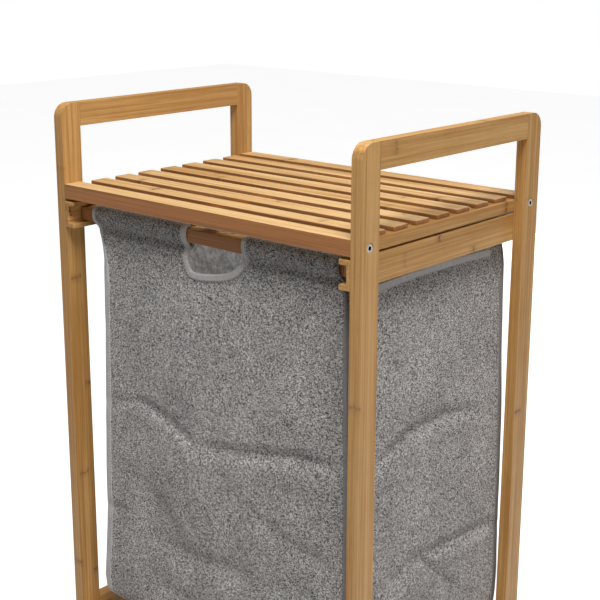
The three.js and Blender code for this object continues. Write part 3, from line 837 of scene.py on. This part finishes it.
# The hand hole's edge: across, and the row of the cloth. Its lowest point is to the left.
GRIP = [
    (-0.0290, 0.6165), (-0.0290, 0.6000), (-0.0288, 0.5850), (-0.0278, 0.5700), (-0.0262, 0.5615),
    (-0.0215, 0.5568), (-0.0100, 0.5562), (0.0080, 0.5580), (0.0260, 0.5615), (0.0420, 0.5675),
    (0.0540, 0.5770), (0.0595, 0.5890), (0.0600, 0.6020), (0.0600, 0.6165),
]  # fmt: skip


def smooth_line(points, count):
    """A smooth line through the points: evenly spaced points, their normals to the right, how far along."""
    fine = through(np.array(points), 10)
    long = lengths(fine)
    at = np.linspace(0, long[-1], count)
    line = np.stack([np.interp(at, long, fine[:, k]) for k in range(2)], 1)
    tangent = np.gradient(line, axis=0)
    tangent /= np.linalg.norm(tangent, axis=1)[:, None]
    return line, np.stack([tangent[:, 1], -tangent[:, 0]], 1), at


FRONT_COLUMNS, SIDE_COLUMNS = 92, 66
WALL_ROWS, SLEEVE_ROWS = 106, 30
TURN_ROWS = [0.090, 0.0915, 0.094, 0.098]  # where the walls turn under to the floor
TAPE_THICK = 0.5 * MM
TAPE_NARROWS = 0.52  # the height from which a corner's tape gets narrower
OVER_BAR = 0.70  # a row above the hand hole's open top
# Where each side's weave starts on the cloth, and how wide it runs.
WEAVE_AT = {"front": (0.0, 0.40), "right": (0.40, 0.30), "back": (0.70, 0.40), "left": (1.10, 0.30)}
# The walls that end and start at each corner, round the bag.
WALLS_AT = {
    "front_left": ("left", "front"),
    "front_right": ("front", "right"),
    "back_right": ("right", "back"),
    "back_left": ("back", "left"),
}


def front_share(x):
    """The share along the front wall at a place across it."""
    return (np.asarray(x) + SEAM_X[0]) / sum(SEAM_X)


def wall_long(side):
    """How long a wall is at its seam."""
    return sum(SEAM_X) if side in ENDS else 2 * SIDE_HALF


def in_grip(x, row, grow):
    """Whether places on the front wall lie in the hand hole, grown by that much."""
    line, normal, _ = smooth_line(GRIP, 90)
    edge = line + normal * grow
    edge = np.vstack([edge, [edge[-1][0], OVER_BAR], [edge[0][0], OVER_BAR]])
    inside = np.zeros(len(x), bool)
    for (x0, y0), (x1, y1) in zip(edge, np.roll(edge, -1, axis=0), strict=True):
        crosses = (y0 > row) != (y1 > row)
        at = x0 + (row - y0) / np.where(y1 == y0, 1e-12, y1 - y0) * (x1 - x0)
        inside ^= crosses & (x < at)
    return inside


def cloth_grid(bm, side, columns, rows, layer):
    """One side of the bag as a grid of cloth, from the floor over its sleeve."""
    made = bmesh.ops.create_grid(bm, x_segments=columns, y_segments=len(rows) - 1, size=0.5)["verts"]
    share = np.array([v.co.x + 0.5 for v in made])
    row = np.interp([v.co.y + 0.5 for v in made], np.linspace(0, 1, len(rows)), rows)
    start, wide = WEAVE_AT[side]
    faces = list({f for v in made for f in v.link_faces})
    places = {v: Vector((start + s * wide, r, 0)) for v, s, r in zip(made, share, row, strict=True)}
    for face in faces:
        for loop in face.loops:
            loop[layer] = places[loop.vert]
    middles = np.array([face.calc_center_median()[:2] for face in faces]) + 0.5
    s, r = middles[:, 0], np.interp(middles[:, 1], np.linspace(0, 1, len(rows)), rows)
    if side in ENDS:
        cut = (r > SEAM_Z) & ((s < 0.006) | (s > 0.994))
        if side == "front":
            cut |= in_grip(s * sum(SEAM_X) - SEAM_X[0], r, 3.5 * MM)
    else:
        cut = (r > SEAM_Z) & (np.abs(2 * s - 1) * SIDE_HALF > SLEEVE_HALF)
    drop = [face for face, gone in zip(faces, cut, strict=True) if gone]
    for vert, place in zip(made, cloth_points(side, share, row), strict=True):
        vert.co = place
    bmesh.ops.delete(bm, geom=drop, context="FACES")


def bag_shell():
    """The bag's walls, sleeves and floor as one sheet of cloth."""
    bm = bmesh.new()
    layer = bm.loops.layers.float_vector.new("weave")
    heights = np.concatenate([TURN_ROWS, np.linspace(HEIGHTS[2], SEAM_Z, WALL_ROWS)])
    for side in ("front", "right", "back", "left"):
        rows = [*heights, *(SEAM_Z + np.linspace(0, SLEEVES[side][1][-1], SLEEVE_ROWS + 1)[1:])]
        cloth_grid(bm, side, FRONT_COLUMNS if side in ENDS else SIDE_COLUMNS, rows, layer)
    floor = bmesh.ops.create_grid(bm, x_segments=FRONT_COLUMNS, y_segments=SIDE_COLUMNS, size=1.0)["verts"]
    a, b = (np.array([v.co[k] for v in floor]) for k in (0, 1))
    edge = np.maximum(np.abs(a), np.abs(b))
    rim = wall_points(a / np.maximum(edge, 1e-9), b / np.maximum(edge, 1e-9), np.full(len(a), FLOOR_Z))
    for vert, place, share in zip(floor, rim, edge, strict=True):
        for loop in vert.link_loops:
            loop[layer] = Vector((vert.co.x * 0.2, vert.co.y * 0.15 + 2.0, 0))
        ripple = 0.8 * MM * noise.noise(Vector((vert.co.x * 4, vert.co.y * 3, 1.5)))
        vert.co = Vector((place[0] * share, place[1] * share, FLOOR_Z + (1 - share**4) * (1.2 * MM + ripple)))
    bmesh.ops.remove_doubles(bm, verts=bm.verts, dist=20 * WELD)
    face_outward(bm)
    return bm


def strip_of_cloth(bm, side, line, normal, along, widths, lifts, to_share=np.asarray, taper=None):
    """A strip that lies on the cloth: line and normal in places on one side, then the places across the strip
    and their lifts in millimetres. taper narrows it point by point."""
    layer = bm.loops.layers.float_vector.get("weave") or bm.loops.layers.float_vector.new("weave")
    widths, lifts = np.array(widths) * MM, np.array(lifts) * MM
    count, across = len(line), len(widths)
    made = bmesh.ops.create_grid(bm, x_segments=count - 1, y_segments=across - 1, size=0.5)["verts"]
    i = np.array([round((v.co.x + 0.5) * (count - 1)) for v in made])
    j = np.array([round((v.co.y + 0.5) * (across - 1)) for v in made])
    narrow = np.ones(count) if taper is None else taper
    at = line[i] + normal[i] * (widths[j] * narrow[i])[:, None]
    places = cloth_points(side, to_share(at[:, 0]), at[:, 1], lifts[j])
    for vert, place, n, w in zip(made, places, i, j, strict=True):
        for loop in vert.link_loops:
            loop[layer] = Vector((along[n], widths[w], 0))
        vert.co = place


def add_stitches(bm, points, directions, out, long=2.1 * MM, thick=0.38 * MM):
    """A short thread over the cloth at each point."""
    for point, direction, normal in zip(points, directions, out, strict=True):
        made = bmesh.ops.create_icosphere(bm, subdivisions=1, radius=1.0)["verts"]
        x = Vector(direction).normalized()
        z = Vector(normal).normalized()
        turn = Matrix((x, z.cross(x), z)).transposed().to_4x4()
        turn.translation = Vector(point)
        shape = Matrix.Diagonal((long / 2, thick, thick, 1.0))
        bmesh.ops.transform(bm, matrix=turn @ shape, verts=made)


# ---- Operators ----
class SORTER_OT_end_frames(bpy.types.Operator):
    """Build the posts, handles and end rails"""

    bl_idname = "sorter.end_frames"
    bl_label = "End Frames"

    def execute(self, context):
        ease = context.scene.sorter_bamboo.ease
        handle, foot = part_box("handle_rail_left"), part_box("end_rail_left")
        inner, tiny = handle[1].y, 0.05 * MM
        ranges = [(rail[0].z - tiny, rail[1].z + tiny) for rail in (handle, foot)]

        def butt(edge):
            """Whether a rail's edge lies in its end."""
            return all(abs(abs(v.co.y) - inner) < tiny for v in edge.verts)

        def glued(edge):
            """Whether a post's edge lies in a glued joint."""
            heights = [v.co.z for v in edge.verts]
            return butt(edge) and any(low < min(heights) and max(heights) < high for low, high in ranges)

        cuts = (foot[0].z, foot[1].z, handle[0].z)
        for corner in CORNERS:
            wood_piece(f"post_{corner}", "Z", "Y", ease, cuts=cuts, keep=glued)
        for side in SIDES:
            wood_piece(f"handle_rail_{side}", "Y", "Z", ease, keep=butt)
            wood_piece(f"end_rail_{side}", "Y", "Z", ease, keep=butt)
        return {"FINISHED"}


class SORTER_OT_shelf(bpy.types.Operator):
    """Build the shelf's rails, slats and battens"""

    bl_idname = "sorter.shelf"
    bl_label = "Shelf"

    def execute(self, context):
        settings = context.scene.sorter_bamboo
        # Rails and slats: upright faces darkened below their tops, partly a deeper cut-face colour, partly
        # painted shade.
        for end in ENDS:
            wood_piece(f"shelf_rail_{end}", "X", "Y", settings.ease, pale=True, sawn_shade=1.0)
        for node in sorted(n for n in frame["nodes"] if n.startswith("slat_")):
            wood_piece(node, "X", "Y", settings.slat_ease, pale=True, sawn_shade=0.95)
        for place in ("middle", *SIDES):
            wood_piece(f"batten_{place}", "Y", "X", settings.slat_ease)
        return {"FINISHED"}


class SORTER_OT_base(bpy.types.Operator):
    """Build the two base rails and the bag's channels"""

    bl_idname = "sorter.base"
    bl_label = "Base Rails and Channels"

    def execute(self, context):
        settings = context.scene.sorter_bamboo
        for end in ENDS:
            wood_piece(f"base_rail_{end}", "X", "Y", settings.ease)
        for side in SIDES:
            wood_piece(f"channel_{side}", "Y", "Z", settings.slat_ease)
        return {"FINISHED"}


class SORTER_OT_bag_bars(bpy.types.Operator):
    """Build the bar frame that the bag hangs on"""

    bl_idname = "sorter.bag_bars"
    bl_label = "Bag Bars"

    def execute(self, context):
        ease = context.scene.sorter_bamboo.slat_ease
        # The bars' upright faces darkened below their tops, partly a deeper cut-face colour, partly painted
        # shade.
        for place in (*ENDS, *SIDES):
            along = "X" if place in ENDS else "Y"
            wood_piece(f"bag_bar_{place}", along, "Z", ease, sawn_shade=0.9)
        return {"FINISHED"}


class SORTER_OT_bag(bpy.types.Operator):
    """Build the cloth bag with its sleeves and creases"""

    bl_idname = "sorter.bag"
    bl_label = "Bag"

    def execute(self, context):
        settings = context.scene.sorter_cloth
        skins = [material(linen), material(coating)]
        cloth = finished("bag_cloth", bag_shell(), "bag_frame", skins, ["bag"], 80)
        thicken(cloth, settings.thick, lining=True)
        return {"FINISHED"}


class SORTER_OT_bag_trim(bpy.types.Operator):
    """Bind the bag's corners and hand hole with tape, and stitch them"""

    bl_idname = "sorter.bag_trim"
    bl_label = "Bag Tapes and Stitches"

    def execute(self, context):
        settings = context.scene.sorter_cloth
        light = material(tape, "light_tape", 1.0)
        threads = bmesh.new()
        self.bind_hand_hole(threads, light, settings.stitch)
        for corner in WALLS_AT:
            self.tape_corner(threads, corner, settings)
        for side in SIDES:
            self.hem_sleeve(threads, side, light, settings.stitch)
        for end in ENDS:
            path = np.array([(share, SEAM_Z - 3 * MM) for share in np.linspace(0.04, 0.96, 160)])
            self.sew(threads, end, path, 0.1, settings.stitch)
        finished("bag_stitches", threads, "bag_frame", [material(thread)])
        return {"FINISHED"}

    def attach(self, name, bm, skin):
        """Finishes a strip as a piece of tape on the bag."""
        face_outward(bm)
        thicken(finished(name, bm, "bag_frame", [skin], angle=60), TAPE_THICK)

    def bind_hand_hole(self, threads, skin, stitch):
        bm = bmesh.new()
        line, normal, along = smooth_line(GRIP, 110)
        widths = [-1.4, -1.0, 0, 1.8, 3.6, 5.4, 6.6, 7.0]
        lifts = [-1.4, 0.3, 1.3, 1.2, 1.15, 1.2, 0.9, 0.1]
        strip_of_cloth(bm, "front", line, normal, along, widths, lifts, front_share)
        self.attach("hand_hole_tape", bm, skin)
        self.sew(threads, "front", line + normal * 5.9 * MM, 1.25, stitch, front_share)

    def tape_corner(self, threads, corner, settings):
        """A tape that folds round a corner, from the end of one wall to the start of the next."""
        bm = bmesh.new()
        first, second = WALLS_AT[corner]
        wide = settings.tape * (0.6 if corner == "front_right" else 1.0)
        # One tape in two painted lightnesses: the front-left copy painted lighter as if lit, the other
        # corners painted darker as shade.
        skin = material(tape, "seam_tape", 1.2) if corner == "front_left" else material(tape, "dim_tape", 0.6)
        for side, end in ((first, 1.0), (second, 0.0)):
            inward = (-1 if end else 1) / wall_long(side)
            self.half_tape(bm, side, end, inward, wide / MM)
            heights = np.linspace(FLOOR_Z + 12 * MM, TAPE_NARROWS, 90)
            path = np.array([(end + inward * wide * 0.90, height) for height in heights])
            self.sew(threads, side, path, 0.9, settings.stitch)
        bmesh.ops.remove_doubles(bm, verts=bm.verts, dist=10 * WELD)
        self.attach(f"seam_tape_{corner}", bm, skin)

    def half_tape(self, bm, side, end, inward, wide):
        """Half of a corner's tape, on one of its two sides."""
        top = SEAM_Z + 44 * MM if side in ENDS else SEAM_Z - 1 * MM
        rows = np.linspace(FLOOR_Z + 8 * MM, top, 130)
        line = np.stack([np.full(len(rows), end), rows], 1)
        normal = np.stack([np.full(len(rows), inward), np.zeros(len(rows))], 1)
        widths = [0, 1.5, 3, 5, wide - 2.5, wide - 0.7, wide]
        lifts = [1.1, 1.1, 1.0, 0.9, 0.9, 0.7, -0.1]
        taper = 1 - 0.55 * step(rows, TAPE_NARROWS, SEAM_Z)
        strip_of_cloth(bm, side, line, normal, rows, widths, lifts, taper=taper)

    def hem_sleeve(self, threads, side, skin, stitch):
        bm = bmesh.new()
        half = SLEEVE_HALF / wall_long(side)
        share = np.linspace(0.5 - half, 0.5 + half, 120)
        line = np.stack([share, SEAM_Z - (4 + 5 * np.abs(2 * share - 1) ** 2) * MM], 1)
        down = np.stack([np.zeros(len(share)), np.full(len(share), -1.0)], 1)
        widths = [-4.5, -4.2, -2, 2, 4.2, 4.5]
        lifts = [-0.2, 0.7, 0.8, 0.8, 0.7, -0.2]
        strip_of_cloth(bm, side, line, down, share * 0.3, widths, lifts)
        self.attach(f"sleeve_hem_{side}", bm, skin)
        self.sew(threads, side, line + down * 3.4 * MM, 0.8, stitch)

    def sew(self, bm, side, path, lift, pitch, to_share=np.asarray):
        """Stitches along a path of places on one side of the bag, that many millimetres off its cloth."""
        share, row = to_share(path[:, 0]), path[:, 1]
        where, under = (cloth_points(side, share, row, off * MM) for off in (lift, lift - 1))
        long = lengths(where)
        at = np.arange(pitch / 2, long[-1], pitch)
        points, ahead, below = (
            np.stack([np.interp(at + shift, long, data[:, k]) for k in range(3)], 1)
            for data, shift in ((where, 0.0), (where, 0.5 * MM), (under, 0.0))
        )
        add_stitches(bm, points, ahead - points, points - below)


class SORTER_OT_bolts(bpy.types.Operator):
    """Build the socket-head bolts"""

    bl_idname = "sorter.bolts"
    bl_label = "Bolts"

    def execute(self, context):
        steel = material(metal, "dull_nickel", (0.42, 0.40, 0.38), (0.62, 0.60, 0.57), 0.22, 160.0)
        # The socket's near-black metal is painted shade in the recess.
        shade = material(metal, "oiled_socket", (0.020, 0.018, 0.016), (0.050, 0.046, 0.042), 0.45, 200.0)
        for corner in CORNERS:
            for level in ("shelf", "base"):
                node = f"bolt_{level}_{corner}"
                bm = copy_of(node)
                self.darken_socket(bm)
                ease_edges(bm, 0.35 * MM, 2, 40)
                weighted(finished(f"{node}_finished", bm, "frame", [steel, shade], [node]))
        return {"FINISHED"}

    def darken_socket(self, bm):
        """Gives the faces inside a head's socket the second, near-black material: painted shade in its
        recess.
        """
        wide, shallow, deep = 3.2 * MM, 0.2 * MM, 3.0 * MM
        low = Vector([min(v.co[k] for v in bm.verts) for k in range(3)])
        high = Vector([max(v.co[k] for v in bm.verts) for k in range(3)])
        middle = (low + high) / 2
        head = max(abs(low.x), abs(high.x))
        for face in bm.faces:
            centre = face.calc_center_median()
            sunk = head - abs(centre.x)
            if math.hypot(centre.y - middle.y, centre.z - middle.z) < wide and shallow < sunk < deep:
                face.material_index = 1


class SORTER_OT_casters(bpy.types.Operator):
    """Build the four casters with their wheels, and the front two brake pedals"""

    bl_idname = "sorter.casters"
    bl_label = "Casters"

    def execute(self, context):
        zinc = material(metal, "zinc_plate", (0.50, 0.51, 0.53), (0.72, 0.73, 0.75), 0.24, 90.0)
        grey = material(
            moulded, "grey_plastic", (0.50, 0.50, 0.485), (0.60, 0.60, 0.58), 0.42, 80.0, 0.04 * MM
        )
        rubber = material(
            moulded, "tyre_rubber", (0.030, 0.030, 0.031), (0.055, 0.055, 0.056), 0.62, 70.0, 0.10 * MM
        )
        red = material(
            moulded, "pedal_plastic", (0.24, 0.014, 0.010), (0.34, 0.022, 0.016), 0.34, 90.0, 0.04 * MM
        )
        for corner in CORNERS:
            for part, slot, skin, radius, segments in (
                ("caster_plate", "zinc", zinc, 0.4, 2),
                ("caster_fork", "zinc", zinc, 0.45, 2),
                ("caster_axle", "zinc", zinc, 0.35, 2),
                ("wheel_core", "grey_plastic", grey, 0.5, 2),
                ("wheel_tyre", "tyre_rubber", rubber, 1.1, 4),
                ("brake_pedal", "pedal_plastic", red, 0.7, 3),
            ):
                node = f"{part}_{corner}"
                if node not in frame["nodes"]:
                    continue
                bm = copy_of(node)
                ease_edges(bm, radius * MM, segments, 28)
                weighted(finished(f"{node}_finished", bm, BODY_OF[node], [skin], [node]))
        return {"FINISHED"}


class SORTER_OT_stage(bpy.types.Operator):
    """Set the floor, the lights and the camera"""

    bl_idname = "sorter.stage"
    bl_label = "Stage"

    def execute(self, context):
        settings = context.scene.sorter_stage
        context.scene.view_settings.view_transform = "Standard"
        self.floor(settings)
        self.world(context.scene, settings)
        target = Vector((0, 0, 0.42))  # a little above the bag's middle
        for name, place, size, power in (
            ("key_light", (0.72, -0.70, 2.6), 1.1, settings.key),
            ("top_light", (-0.2, 0.5, 2.3), 1.4, settings.top),
            ("side_light", (2.4, -0.6, 0.85), 1.2, settings.side),
            ("fill_light", (-0.6, -2.6, 1.3), 2.2, settings.fill),
            ("back_light", (-0.9, 2.5, 0.25), 1.4, settings.back),
        ):
            data = bpy.data.lights.new(name, "AREA")
            data.shape = "DISK"
            data.size = size
            data.energy = power
            lamp = bpy.data.objects.new(name, data)
            lamp.location = place
            lamp.rotation_mode = "QUATERNION"
            lamp.rotation_quaternion = (target - Vector(place)).to_track_quat("-Z", "Y")
            context.scene.collection.objects.link(lamp)
        self.camera(context.scene, settings)
        return {"FINISHED"}

    def floor(self, settings):
        """A pale floor that the camera sees as white, so that it has no far edge."""
        bm = bmesh.new()
        squares = settings.floor_squares
        bmesh.ops.create_grid(bm, x_segments=squares, y_segments=squares, size=6.0)
        made, tree, inputs = new_material("pale_floor", Specular_IOR_Level=0.2)
        mottle = tree.noise(tree.object_place(), 3.0, detail=4.0)
        tree.feed(inputs["Base Color"], tree.mix(mottle, (0.44, 0.44, 0.44, 1), (0.48, 0.48, 0.48, 1)))
        tree.feed(inputs["Roughness"], tree.remap(mottle, 0.3, 0.7, 0.7, 0.8))
        tree.feed(inputs["Emission Color"], tree.mix(mottle, (0.97, 0.97, 0.97, 1), (1, 1, 1, 1)))
        rays = tree.read(tree.add("ShaderNodeLightPath"))
        seen = tree.math("MAXIMUM", rays["Is Camera Ray"], rays["Is Glossy Ray"])
        tree.feed(inputs["Emission Strength"], seen * 0.90)
        mesh = bpy.data.meshes.new("floor")
        bm.to_mesh(mesh)
        bm.free()
        mesh.materials.append(made)
        floor = bpy.data.objects.new("floor", mesh)
        bpy.context.scene.collection.objects.link(floor)

    def world(self, scene, settings):
        scene.world = bpy.data.worlds.new("studio")
        scene.world.use_nodes = True
        tree = Tree(scene.world.node_tree)
        background = scene.world.node_tree.nodes["Background"]
        seen = tree.read(tree.add("ShaderNodeLightPath"))["Is Camera Ray"]
        tree.feed(background.inputs["Color"], (1.0, 1.0, 1.0, 1.0))
        tree.feed(background.inputs["Strength"], tree.remap(seen, 0.0, 1.0, settings.sky, 1.0))

    def camera(self, scene, settings):
        data = bpy.data.cameras.new("camera")
        data.lens = settings.lens
        data.shift_y = settings.shift
        data.clip_start, data.clip_end = 0.05, 50.0
        eye = bpy.data.objects.new("camera", data)
        level = Vector((math.cos(settings.azimuth), math.sin(settings.azimuth), 0))
        flat = Vector((-level.y, level.x, 0))
        ahead = flat * math.cos(settings.pitch) - Vector((0, 0, math.sin(settings.pitch)))
        down = ahead.cross(level)
        right = level * math.cos(settings.roll) + down * math.sin(settings.roll)
        up = level * math.sin(settings.roll) - down * math.cos(settings.roll)
        turned = Matrix((right, up, -ahead)).transposed().to_4x4()
        turned.translation = Vector(settings.place)
        eye.matrix_world = turned
        scene.collection.objects.link(eye)
        scene.camera = eye


OPERATORS = (
    SORTER_OT_stage,
    SORTER_OT_end_frames,
    SORTER_OT_shelf,
    SORTER_OT_base,
    SORTER_OT_bag_bars,
    SORTER_OT_bag,
    SORTER_OT_bag_trim,
    SORTER_OT_bolts,
    SORTER_OT_casters,
)


class SORTER_PT_panel(bpy.types.Panel):
    """The sorter's pieces and settings"""

    bl_label = "Laundry Sorter"
    bl_idname = "SORTER_PT_panel"
    bl_space_type = "VIEW_3D"
    bl_region_type = "UI"
    bl_category = "Sorter"

    def draw(self, context):
        for settings in (context.scene.sorter_bamboo, context.scene.sorter_cloth, context.scene.sorter_stage):
            box = self.layout.box()
            for name in settings.bl_rna.properties.keys():
                if name not in ("rna_type", "name"):
                    box.prop(settings, name)
        for operator in OPERATORS:
            self.layout.operator(operator.bl_idname)


GROUPS = {"sorter_bamboo": SorterBamboo, "sorter_cloth": SorterCloth, "sorter_stage": SorterStage}
CLASSES = (*GROUPS.values(), *OPERATORS, SORTER_PT_panel)


def register():
    for cls in CLASSES:
        bpy.utils.register_class(cls)
    for name, cls in GROUPS.items():
        setattr(bpy.types.Scene, name, bpy.props.PointerProperty(type=cls))


def unregister():
    for name in GROUPS:
        delattr(bpy.types.Scene, name)
    for cls in reversed(CLASSES):
        bpy.utils.unregister_class(cls)


def main():
    register()
    for operator in OPERATORS:
        group, name = operator.bl_idname.split(".")
        getattr(getattr(bpy.ops, group), name)()
    bpy.context.view_layer.update()


if __name__ == "__main__":
    main()
